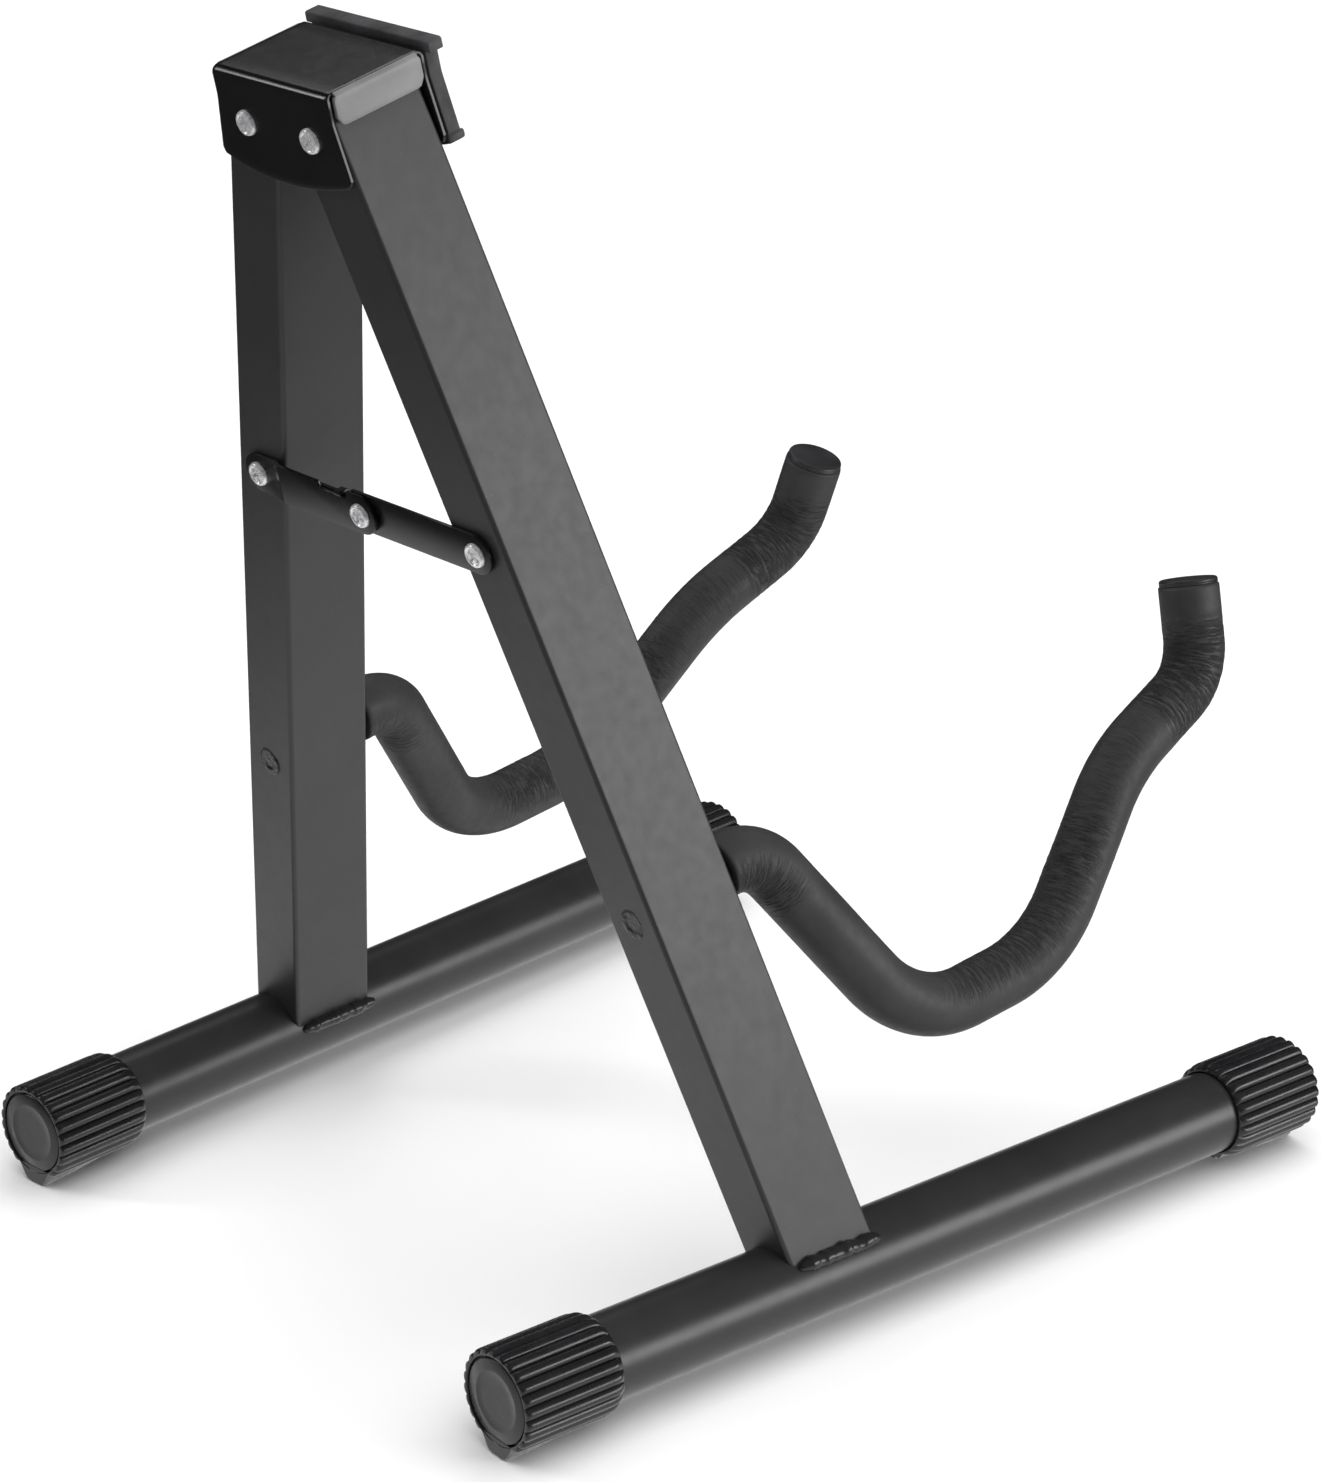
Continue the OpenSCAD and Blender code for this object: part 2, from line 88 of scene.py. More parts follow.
def T(x, y, z):
    return Matrix.Translation((x, y, z))


def R(angle, axis):
    return Matrix.Rotation(angle, 4, axis)


def side(s):
    return Matrix.Diagonal((s, 1, 1, 1))


def half_name(s):
    return "left" if s < 0 else "right"


PLANE = T(0, PIVOT_Y, PIVOT_Z) @ R(LEAN, "X")
HALVES = (("left", -1), ("right", 1))


def leg_frame(s):
    return PLANE @ side(s) @ T(PIVOT_HALF, 0, 0) @ R(-SPLAY, "Y")


def tube_frame(s):
    return leg_frame(s) @ T(0, 0, -LEG_LEN) @ R(-TOE_PITCH, "X")


def floor_frame(s):
    return side(s) @ T(FOOT_X, FOOT_Y, FOOT_H) @ R(-TOE, "Z")


def arm_frame(s):
    return leg_frame(s) @ T(0, 0, -ARM_DROP) @ R(ARM_YAW, "Z")


def link_frame(s):
    return PLANE @ side(s) @ T(LINK_HALF, 0, LINK_Z)


# ---------------------------------------------------------------- mesh helpers


def smooth01(x):
    x = min(max(x, 0.0), 1.0)
    return x * x * (3 - 2 * x)


def ridge(x, lo, hi, soft):
    """1 between lo and hi, falling to 0 over soft on each side."""
    return smooth01((x - lo + soft) / soft) * smooth01((hi + soft - x) / soft)


class Shape:
    """Vertices in a local frame in mm, turned into one Blender object."""

    def __init__(self):
        self.verts, self.faces = [], []

    def grid(self, rows, cols, point, wrap=False):
        """A rows x cols sheet of points; wrap closes it across the columns."""
        base = len(self.verts)
        for i in range(rows):
            for j in range(cols):
                self.verts.append(point(i, j))
        for i in range(rows - 1):
            for j in range(cols if wrap else cols - 1):
                k = (j + 1) % cols
                a, b = base + i * cols + j, base + i * cols + k
                c, d = base + (i + 1) * cols + k, base + (i + 1) * cols + j
                self.faces.append((a, b, c, d))
        return base

    def fan(self, ring, centre, flip=False):
        c = len(self.verts)
        self.verts.append(centre)
        n = len(ring)
        for i in range(n):
            a, b = ring[i], ring[(i + 1) % n]
            self.faces.append((b, a, c) if flip else (a, b, c))

    def sheet(self, rows, cols, skin):
        """Two skins SHEET apart, joined all round their edge."""
        a = self.grid(rows, cols, skin(0))
        b = self.grid(rows, cols, skin(SHEET))
        edge = ([i * cols for i in range(rows)] + [(rows - 1) * cols + j for j in range(1, cols)]
                + [i * cols + cols - 1 for i in range(rows - 2, -1, -1)]
                + [j for j in range(cols - 2, 0, -1)])
        for p, q in zip(edge, edge[1:] + edge[:1]):
            self.faces.append((a + p, a + q, b + q, b + p))

    def prism(self, outline, y0, y1):
        """An (x, z) outline between two depths, anticlockwise seen from -y."""
        base, n = len(self.verts), len(outline)
        for y in (y0, y1):
            self.verts += [(x, y, z) for x, z in outline]
        self.faces.append(tuple(range(base, base + n)))
        self.faces.append(tuple(reversed(range(base + n, base + 2 * n))))
        for i in range(n):
            k = (i + 1) % n
            self.faces.append((base + k, base + i, base + n + i, base + n + k))

    def lathe(self, profile, n, axis="y"):
        """Spin (radius, height) points; a radius of 0 closes an end."""
        inner = [p for p in profile if p[0] > 1e-6]

        def spot(i, j):
            r, h = inner[i]
            a = 2 * math.pi * j / n
            return (r * math.cos(a), h, r * math.sin(a)) if axis == "y" else (
                r * math.cos(a), r * math.sin(a), h)

        base = self.grid(len(inner), n, spot, wrap=True)
        for point, row, turned in ((profile[0], 0, True), (profile[-1], len(inner) - 1, False)):
            if point[0] <= 1e-6:
                ring = [base + row * n + j for j in range(n)]
                middle = (0, point[1], 0) if axis == "y" else (0, 0, point[1])
                self.fan(ring, middle, flip=turned)

    def build(self, name, place, body, material, replaces=(), bevel=0.0, segments=2,
              sharp=38, bend=None):
        bm = bmesh.new()
        made = [bm.verts.new(v) for v in self.verts]
        for f in self.faces:
            bm.faces.new([made[i] for i in f])
        bmesh.ops.remove_doubles(bm, verts=bm.verts, dist=1e-5)
        bmesh.ops.recalc_face_normals(bm, faces=bm.faces)
        if bend:
            planes, move = bend
            for x in planes:
                bmesh.ops.bisect_plane(bm, geom=bm.verts[:] + bm.edges[:] + bm.faces[:], dist=1e-5,
                                       plane_co=(x, 0, 0), plane_no=(1, 0, 0))
            for v in bm.verts:
                v.co = move(v.co)
        if bevel:
            edges = [e for e in bm.edges if e.is_manifold and e.calc_face_angle(0) > 0.5]
            bmesh.ops.bevel(bm, geom=edges, offset=bevel, segments=segments, profile=0.5,
                            affect="EDGES", clamp_overlap=True)
        scaled = Matrix.Scale(MM, 4) @ place
        bm.transform(scaled)
        if scaled.determinant() < 0:
            bmesh.ops.reverse_faces(bm, faces=bm.faces)
        mesh = bpy.data.meshes.new(name)
        bm.to_mesh(mesh)
        bm.free()
        mesh.polygons.foreach_set("use_smooth", [True] * len(mesh.polygons))
        mesh.set_sharp_from_angle(angle=math.radians(sharp))
        mesh.materials.append(material)
        obj = bpy.data.objects.new(name, mesh)
        bpy.context.scene.collection.objects.link(obj)
        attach(obj, body)
        if replaces:
            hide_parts(*replaces)


# ---------------------------------------------------------------- materials


class Mat:
    """Small builder for a Principled material on object coordinates."""

    def __init__(self, name, rough=0.5, metal=0.0, ior=1.45):
        self.m = bpy.data.materials.new(name)
        self.m.use_nodes = True
        self.nodes, self.links = self.m.node_tree.nodes, self.m.node_tree.links
        self.bsdf = self.nodes["Principled BSDF"]
        self.bsdf.inputs["Roughness"].default_value = rough
        self.bsdf.inputs["Metallic"].default_value = metal
        self.bsdf.inputs["IOR"].default_value = ior
        self.where = self.nodes.new("ShaderNodeTexCoord").outputs["Object"]
        self.height = None

    def noise(self, scale, detail=3.0, rough=0.55, stretch=None, vector=None):
        n = self.nodes.new("ShaderNodeTexNoise")
        n.inputs["Scale"].default_value = scale
        n.inputs["Detail"].default_value = detail
        n.inputs["Roughness"].default_value = rough
        source = vector or self.where
        if stretch:
            mapping = self.nodes.new("ShaderNodeMapping")
            mapping.inputs["Scale"].default_value = stretch
            self.links.new(source, mapping.inputs["Vector"])
            source = mapping.outputs["Vector"]
        self.links.new(source, n.inputs["Vector"])
        return n.outputs["Fac"]

    def ramp(self, fac, stops):
        r = self.nodes.new("ShaderNodeValToRGB")
        while len(r.color_ramp.elements) < len(stops):
            r.color_ramp.elements.new(0.5)
        for e, (pos, value) in zip(r.color_ramp.elements, stops):
            e.position = pos
            e.color = (*value, 1) if isinstance(value, tuple) else (value, value, value, 1)
        self.links.new(fac, r.inputs["Fac"])
        return r.outputs["Color"]

    def math(self, op, a, b):
        n = self.nodes.new("ShaderNodeMath")
        n.operation = op
        for i, v in enumerate((a, b)):
            if isinstance(v, (int, float)):
                n.inputs[i].default_value = v
            else:
                self.links.new(v, n.inputs[i])
        return n.outputs["Value"]

    def mix(self, fac, a, b):
        n = self.nodes.new("ShaderNodeMix")
        n.data_type = "RGBA"
        self.links.new(fac, n.inputs["Factor"])
        for key, v in (("A", a), ("B", b)):
            socket = next(s for s in n.inputs if s.name == key and s.type == "RGBA")
            if isinstance(v, tuple):
                socket.default_value = (*v, 1)
            else:
                self.links.new(v, socket)
        return next(s for s in n.outputs if s.type == "RGBA")

    def bump(self, height, strength, distance):
        b = self.nodes.new("ShaderNodeBump")
        b.inputs["Strength"].default_value = strength
        b.inputs["Distance"].default_value = distance
        self.links.new(height, b.inputs["Height"])
        if self.height is not None:
            self.links.new(self.height, b.inputs["Normal"])
        self.height = b.outputs["Normal"]
        self.links.new(self.height, self.bsdf.inputs["Normal"])
        return self

    def color(self, socket):
        self.links.new(socket, self.bsdf.inputs["Base Color"])
        return self

    def rough(self, socket):
        self.links.new(socket, self.bsdf.inputs["Roughness"])
        return self


def powder(name, dark, light, rough, grain=1400, depth=0.00003, specks=True):
    """Satin powder coat: fine orange peel, soft mottling and a few pale specks."""
    m = Mat(name, rough)
    cloud = m.ramp(m.noise(38, 4), [(0.3, dark), (0.75, light)])
    if specks:
        cells = m.nodes.new("ShaderNodeTexVoronoi")
        cells.inputs["Scale"].default_value = 420
        m.links.new(m.where, cells.inputs["Vector"])
        dots = m.ramp(cells.outputs["Distance"], [(0.05, 1.0), (0.09, 0.0)])
        sparse = m.math("MULTIPLY", dots, m.ramp(m.noise(60, 1), [(0.52, 0.0), (0.60, 1.0)]))
        cloud = m.mix(sparse, cloud, tuple(c * 2.2 for c in light))
    m.color(cloud)
    m.rough(m.ramp(m.noise(240, 3), [(0.3, rough - 0.02), (0.7, rough + 0.03)]))
    m.bump(m.noise(grain, 2), 0.25, depth)
    return m.m


def moulded(name, dark, light, rough, grain=900, depth=0.00005, mottle=90):
    """Moulded rubber or plastic: mottled colour with a fine uneven skin."""
    m = Mat(name, rough)
    m.color(m.ramp(m.noise(mottle, 5, 0.62), [(0.3, dark), (0.72, light)]))
    m.rough(m.ramp(m.noise(260, 3), [(0.3, rough - 0.07), (0.7, rough + 0.08)]))
    m.bump(m.noise(grain, 3), 0.4, depth)
    m.bump(m.noise(60, 2), 0.15, 0.00015)
    return m.m


def zinc(name):
    m = Mat(name, 0.26, metal=0.6)
    m.color(m.ramp(m.noise(220, 3), [(0.3, (0.80, 0.80, 0.82)), (0.7, (0.94, 0.94, 0.95))]))
    m.rough(m.ramp(m.noise(500, 3), [(0.3, 0.18), (0.7, 0.34)]))
    m.bump(m.noise(1500, 2), 0.25, 0.00003)
    return m.m


def foam(name):
    """Closed-cell foam: matte, faintly pored, wrinkled where the wrinkle attribute says, with painted shade
    darkening the colour in the creases.
    """
    m = Mat(name, 0.55, ior=1.42)
    a = m.nodes.new("ShaderNodeAttribute")
    a.attribute_name = "wrinkle"
    uv = m.nodes.new("ShaderNodeUVMap")
    uv.uv_map = "sleeve"
    fold = m.noise(1.0, 3, 0.6, stretch=(9.0, 58.0, 1.0), vector=uv.outputs["UV"])
    lines = m.ramp(fold, [(0.38, 0.0), (0.56, 1.0)])
    crease_and_shade = m.math("MULTIPLY", m.math("SUBTRACT", 1.0, lines), a.outputs["Fac"])
    base = m.ramp(m.noise(55, 5, 0.6), [(0.3, (0.026, 0.026, 0.027)), (0.75, (0.038, 0.038, 0.040))])
    # painted shade: the colour itself is darkened towards near black in the creases, where shade falls in
    # the folds; the same mask drives the crease bump below
    m.color(m.mix(m.math("MULTIPLY", crease_and_shade, 0.75), base, (0.007, 0.007, 0.008)))
    m.rough(m.ramp(m.noise(400, 3), [(0.3, 0.50), (0.7, 0.62)]))
    m.bump(m.noise(1700, 3), 0.4, 0.00005)
    m.bump(m.noise(300, 3), 0.15, 0.00006)
    m.bump(m.math("MULTIPLY", crease_and_shade, -1.0), 1.0, 0.0005)
    return m.m


SATIN = powder("satin_powder_coat", (0.024, 0.024, 0.025), (0.028, 0.028, 0.029), 0.40)
TUBE_COAT = powder("tube_powder_coat", (0.018, 0.018, 0.019), (0.025, 0.025, 0.026), 0.34, 1700)
HEAD_COAT = powder("head_powder_coat", (0.004, 0.004, 0.0045), (0.007, 0.007, 0.0075), 0.24, 1900,
                   specks=False)
# painted highlight: the head's side lips are the same black sheet as the head, painted many times lighter
# to stand for the light from the right striking them
LIT_LIP_COAT = powder("lip_coat_painted_highlight", (0.15, 0.15, 0.152), (0.24, 0.24, 0.243), 0.42, 900, 0.00006, False)
# painted shade: near-black coat for the flat ring that stands in for the shadowed gap round each rod end
GAP_SHADE_COAT = powder("gap_painted_shade_coat", (0.003, 0.003, 0.003), (0.005, 0.005, 0.005), 0.6, 900, 0.00004, False)
WELD_COAT = powder("weld_coat", (0.010, 0.010, 0.011), (0.018, 0.018, 0.019), 0.28, 700, 0.00008, False)
PAD = moulded("pad_rubber", (0.026, 0.026, 0.028), (0.070, 0.070, 0.074), 0.62)
CAP = moulded("cap_rubber", (0.008, 0.008, 0.009), (0.016, 0.016, 0.017), 0.28, 1200, 0.00004, 60)
PLUG = moulded("plug_plastic", (0.016, 0.016, 0.017), (0.030, 0.030, 0.032), 0.40, 1300, 0.00003)
ZINC = zinc("bright_zinc")
NYLON = moulded("nylon", (0.55, 0.55, 0.53), (0.70, 0.70, 0.67), 0.45)
FOAM = foam("foam_rubber")

# ---------------------------------------------------------------- CAD nodes that stay


def dress(node, material):
    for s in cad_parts[node].material_slots:
        s.material = material


for half, _ in HALVES:
    dress(half + "_leg", SATIN)
    dress(half + "_arm_rod", WELD_COAT)
    dress(half + "_arm_weld", WELD_COAT)
    dress(half + "_link_nut", ZINC)
    dress(half + "_link_washer", NYLON)
for node in ("pivot_nuts", "middle_link_nut"):
    dress(node, ZINC)
for node in ("pivot_washers", "middle_link_washer"):
    dress(node, NYLON)

# ---------------------------------------------------------------- head
BELLY_R, BELLY_LOW = 89.0, -15.3
SIDE_LINE = [(24.2, 12.4), (24.2, 6.0), (27.1, -9.8), (26.3, -11.2)]


def belly(x):
    return BELLY_LOW + BELLY_R - math.sqrt(BELLY_R ** 2 - x * x)


def along(line, t):
    """A point part way along a polyline, by length."""
    parts = [math.dist(a, b) for a, b in zip(line, line[1:])]
    want = t * sum(parts)
    for (a, b), n in zip(zip(line, line[1:]), parts):
        if want <= n or (a, b) == (line[-2], line[-1]):
            f = min(want / n, 1.0)
            return a[0] + (b[0] - a[0]) * f, a[1] + (b[1] - a[1]) * f
        want -= n


def head_path(t):
    """The bent sheet from the rear flange's foot over the top to the front one: depth, height,
    direction out of the sheet, half width and how far down its flange a point is."""
    flange, bend, top = 12, 5, 6
    rear = t <= flange + bend + top // 2
    i = t if rear else 2 * (flange + bend) + top - t
    sign = -1 if rear else 1
    if i < flange:
        w, z = along(SIDE_LINE, 1 - i / flange)
        return sign * FLANGE_OUT, z, (sign, 0), w, 1 - i / flange
    if i <= flange + bend:
        a = math.pi / 2 * (i - flange) / bend
        y, z = math.cos(a), math.sin(a)
        return (sign * (FLANGE_OUT - 2 + 2 * y), HEAD_TOP - 2 + 2 * z, (sign * y, z),
                24.2 - 0.5 * (i - flange) / bend, 0)
    f = (i - flange - bend) / (top / 2)
    return sign * (FLANGE_OUT - 2) * (1 - f), HEAD_TOP, (0, 1), HEAD_HALF - 1.3, 0


def make_head():
    """The folded sheet over the legs, and the lip that closes each of its sides."""
    cap = Shape()
    rows, cols = 41, 33

    def skin(inset):
        def point(i, j):
            y, z, out, w, down = head_path(i)
            u = -1 + 2 * j / (cols - 1)
            x = u * w
            z += (belly(x) - belly(w)) * down ** 3
            return x, y - out[0] * inset, z - out[1] * inset
        return point

    cap.sheet(rows, cols, skin)
    cap.build("head_sheet", PLANE, "head", HEAD_COAT, replaces=["top_bracket"],
              bevel=0.22)

    n, lip_cols, bend = 12, 25, 5
    reach, low_edge, corner_r, bend_r = FLANGE_IN - 0.8, HEAD_TOP - 9.2, 2.5, 1.3

    def lip_skin(inset):
        def point(i, j):
            f = -reach + 2 * reach * j / (lip_cols - 1)
            if i <= bend:
                a = math.pi / 2 * (1 - i / bend)
                c, v = math.cos(a), math.sin(a)
                return (HEAD_HALF - bend_r + (bend_r - inset) * c, f * (0.955 if i < bend else 0.985),
                        HEAD_TOP - bend_r + (bend_r - inset) * v)
            t = (i - bend) / (n - bend)
            corner = max(0.0, abs(f) - (reach - corner_r))
            low = low_edge + (corner_r - math.sqrt(max(0.0, corner_r ** 2 - corner * corner)))
            top = HEAD_TOP - bend_r
            return HEAD_HALF - inset, f, top + (low - top) * t
        return point

    for name, s in HALVES:
        lip = Shape()
        lip.sheet(n + 1, lip_cols, lip_skin)
        # the lips carry the painted highlight coat, a much lighter copy of the sheet's black coat
        lip.build(name + "_head_lip", PLANE @ side(s), "head", LIT_LIP_COAT, bevel=0.2)


def outline(grow):
    pts = [(x + grow, z) for x, z in SIDE_LINE]
    pts[0] = (24.2 + grow, 13.4)
    bottom = [(x, belly(x)) for x in [3.2 * k for k in range(8, -9, -1)]]
    ring = pts + bottom + [(-x, z) for x, z in reversed(pts)]
    return list(reversed(ring))


def make_pad():
    """Pad on the front flange: a slab with a ridge above the head and a flared lower lip."""
    pad = Shape()
    pad.prism(outline(-0.5), 17.6, 21.9)
    pad.build("pad_slab", PLANE, "head", PAD, replaces=["front_pad"], bevel=0.7,
              segments=3)
    top = Shape()
    bar = [(-25.8, 12.9), (25.8, 12.9), (25.8, 15.6), (25.2, 16.2), (-25.2, 16.2), (-25.8, 15.6)]
    top.prism(bar, 17.5, 22.4)
    top.build("pad_ridge", PLANE, "head", PAD, bevel=0.55, segments=3)
    lip = Shape()
    upper = [(x, belly(x) + 1.4) for x in [3.3 * k for k in range(-8, 9)]]
    lower = [(x * 1.01, belly(x) - 1.3) for x in [3.3 * k for k in range(8, -9, -1)]]
    lip.prism(lower[::-1] + upper[::-1], 17.5, 23.3)
    lip.build("pad_lip", PLANE, "head", PAD, bevel=0.8, segments=3)
    core = Shape()
    core.prism([(-20, -8), (20, -8), (20, 8), (-20, 8)], 16.7, 18.0)
    core.build("pad_core", PLANE, "head", PAD, bevel=0.3)


# ---------------------------------------------------------------- screws
HEAD_R, SHANK_R = 3.6, 2.0


def screw_top(x, z):
    """Height of a pan head over its seat, with a raised rim, a cross recess and a nub."""
    r = math.hypot(x, z)
    dome = 0.75 + 0.55 * math.sqrt(max(0.0, 1 - (r / 4.0) ** 2))
    dome -= 0.62 * smooth01((r - HEAD_R + 0.45) / 0.45) ** 2
    dome -= 0.28 * smooth01((2.75 - r) / 0.3)
    tip = smooth01((2.3 - r) / 0.3)
    arm = max(smooth01((0.6 - abs(x)) / 0.14), smooth01((0.6 - abs(z)) / 0.14))
    dome -= 0.95 * tip * arm * (1 - 0.3 * r / 2.3)
    dome += 0.35 * smooth01((0.55 - r) / 0.3)
    return max(dome, 0.03)


def make_screw(name, place, seat, shank_end, body, node, turn=0.0):
    """A pan head screw along +y whose head sits on y = seat and looks to -y."""
    s = Shape()
    n, rings = 96, 40

    def spot(i, j):
        r = HEAD_R * (i + 1) / rings
        a = 2 * math.pi * j / n
        x, z = r * math.cos(a), r * math.sin(a)
        return x, seat - screw_top(x, z), z

    base = s.grid(rings, n, spot, wrap=True)
    s.fan([base + j for j in range(n)], (0, seat - screw_top(0, 0), 0), flip=True)
    last = base + (rings - 1) * n

    def round_at(r, y):
        return lambda i, j: (r * math.cos(2 * math.pi * j / n), y, r * math.sin(2 * math.pi * j / n))

    low = s.grid(1, n, round_at(HEAD_R, seat), wrap=True)
    neck = s.grid(1, n, round_at(SHANK_R, seat), wrap=True)
    s.faces += [(low + j, low + (j + 1) % n, neck + (j + 1) % n, neck + j) for j in range(n)]
    for j in range(n):
        k = (j + 1) % n
        s.faces.append((last + j, last + k, low + k, low + j))
    end = s.grid(1, n, round_at(SHANK_R - 0.02, shank_end), wrap=True)
    for j in range(n):
        k = (j + 1) % n
        s.faces.append((neck + j, neck + k, end + k, end + j))
    s.fan([end + j for j in range(n)], (0, shank_end, 0))
    s.build(name, place @ R(turn, "Y"), body, ZINC, replaces=[node], sharp=50)


def make_screws():
    for name, s in HALVES:
        make_screw(name + "_pivot_screw", PLANE @ T(s * PIVOT_HALF, 0, 0), -FLANGE_OUT, 19.9, "head",
                   "pivot_screws", 0.3 + 0.5 * s)
        spot = leg_frame(s) @ T(-LINK_IN, 0, -LINK_DROP)
        make_screw(name + "_brace_screw", spot, LINK_IN_Y - LINK_T - 0.05, -11.3, name + "_side",
                   name + "_link_screw", 0.9 * s)
    make_screw("brace_middle_screw", link_frame(-1) @ Matrix.Diagonal((-1, 1, 1, 1)) @ T(LINK_HALF, 0, 0),
               LINK_OUT_Y - LINK_T, LINK_OUT_Y - 0.05, "left_link", "middle_link_screw", 0.4)


# ---------------------------------------------------------------- brace plates


def stadium(length, n=14):
    """Plate outline round the leg screw at 0 and round the middle screw, anticlockwise seen
    from the rear."""
    h = LINK_W / 2
    turn = [math.pi * k / n for k in range(n + 1)]
    near = [(-h * math.sin(a), -h * math.cos(a)) for a in reversed(turn)]
    return near, [(length + h * math.sin(a), -h * math.cos(a)) for a in turn]


def make_plates():
    # left plate: joggled out over the right one, notched in its upper edge
    near, far = stadium(LINK_HALF)
    n0, n1 = LINK_HALF - NOTCH_FAR, LINK_HALF - NOTCH_NEAR
    h = LINK_W / 2
    notch = [(n1, h), (n1, h - NOTCH_DEPTH), (n0, h - NOTCH_DEPTH), (n0, h)]
    ring = near + far + notch
    plate = Shape()
    plate.prism(ring, LINK_IN_Y, LINK_IN_Y - LINK_T)

    def joggle(co):
        t = smooth01((co.x - 8.5) / 3.0)
        return Vector((co.x, co.y + (LINK_OUT_Y - LINK_IN_Y) * t, co.z))

    place = link_frame(-1) @ Matrix.Diagonal((-1, 1, 1, 1))
    plate.build("left_brace_plate", place, "left_link", HEAD_COAT, replaces=["left_link_plate"],
                bevel=0.18, bend=([8.5, 9.2, 10.0, 10.8, 11.5], joggle))

    # right plate: passes behind the left one and carries the stop tab
    near, _ = stadium(LINK_HALF)
    tab_z = h - NOTCH_DEPTH + 0.15
    tail, step = LINK_HALF + TAIL_LEN, LINK_HALF + STEP_AT
    body = near + [(tail, -h), (tail, tab_z), (step, tab_z), (step, h)]
    plate = Shape()
    plate.prism(body, LINK_IN_Y, LINK_IN_Y - LINK_T)
    place = link_frame(1) @ Matrix.Diagonal((-1, 1, 1, 1))
    plate.build("right_brace_plate", place, "right_link", HEAD_COAT, replaces=["right_link_plate"],
                bevel=0.18)
    tab = Shape()
    x0, x1 = LINK_HALF + TAB_NEAR, LINK_HALF + TAB_FAR
    tab.prism([(x0, tab_z - 0.02), (x1, tab_z - 0.02), (x1, tab_z + LINK_T), (x0, tab_z + LINK_T)],
              LINK_IN_Y, LINK_OUT_Y - LINK_T - 0.5)
    tab.build("right_brace_tab", place, "right_link", HEAD_COAT, bevel=0.2)


# ---------------------------------------------------------------- welds


def make_welds():
    seam_z = math.sqrt(TUBE_R ** 2 - LEG_W ** 2 / 4)
    for name, s in HALVES:
        bead = Shape()
        n, rings = 20, 72
        for f in (-1, 1):
            def spot(i, j, f=f):
                t = -1 + 2 * i / (rings - 1)
                y = 15.2 * t
                p = Vector((f * 7, y * 0.33, s * 3.1))
                lump = 1 + 0.20 * noise.noise(p) + 0.07 * noise.noise(p * 3)
                r = 2.2 * lump * math.sqrt(max(0.02, 1 - abs(t) ** 6))
                a = 2 * math.pi * j / n
                wob = 0.5 * noise.noise(Vector((y * 0.22, f * 3, 5)))
                out = f * (LEG_W / 2 + 0.9 + wob)
                return out + r * math.cos(a), y, seam_z - 0.9 + wob + r * math.sin(a)

            base = bead.grid(rings, n, spot, wrap=True)
            bead.fan([base + j for j in range(n)], (f * LEG_W / 2, -15.3, seam_z), flip=True)
            last = base + (rings - 1) * n
            bead.fan([last + j for j in range(n)], (f * LEG_W / 2, 15.3, seam_z))
        bead.build(name + "_weld_bead", tube_frame(s), name + "_side", WELD_COAT,
                   replaces=[name + "_tube_weld"], sharp=70)


def make_tube(name, s):
    tube = Shape()
    rear, front = -TUBE_BACK + 3.2, TUBE_FRONT - 3.2
    outer = [(TUBE_R, rear + (front - rear) * k / 40) for k in range(41)]
    inner = [(TUBE_R - 1.5, front), (TUBE_R - 1.5, rear)]
    tube.lathe(outer + inner + [outer[0]], 160)
    tube.build(name, tube_frame(s), half_name(s) + "_side", TUBE_COAT,
               replaces=[half_name(s) + "_floor_tube"], sharp=60)


# ---------------------------------------------------------------- end caps
RIBS, CAP_VALLEY = 24, 13.5
PER_RIB = 14


def rib(a):
    """Rib profile round the cap: broad rounded ribs, narrow valleys, plain over the foot."""
    under = abs((math.degrees(a) - 270 + 180) % 360 - 180)
    wave = abs(math.sin(a * RIBS / 2)) ** 0.6
    return wave * smooth01((under - 26) / 8)


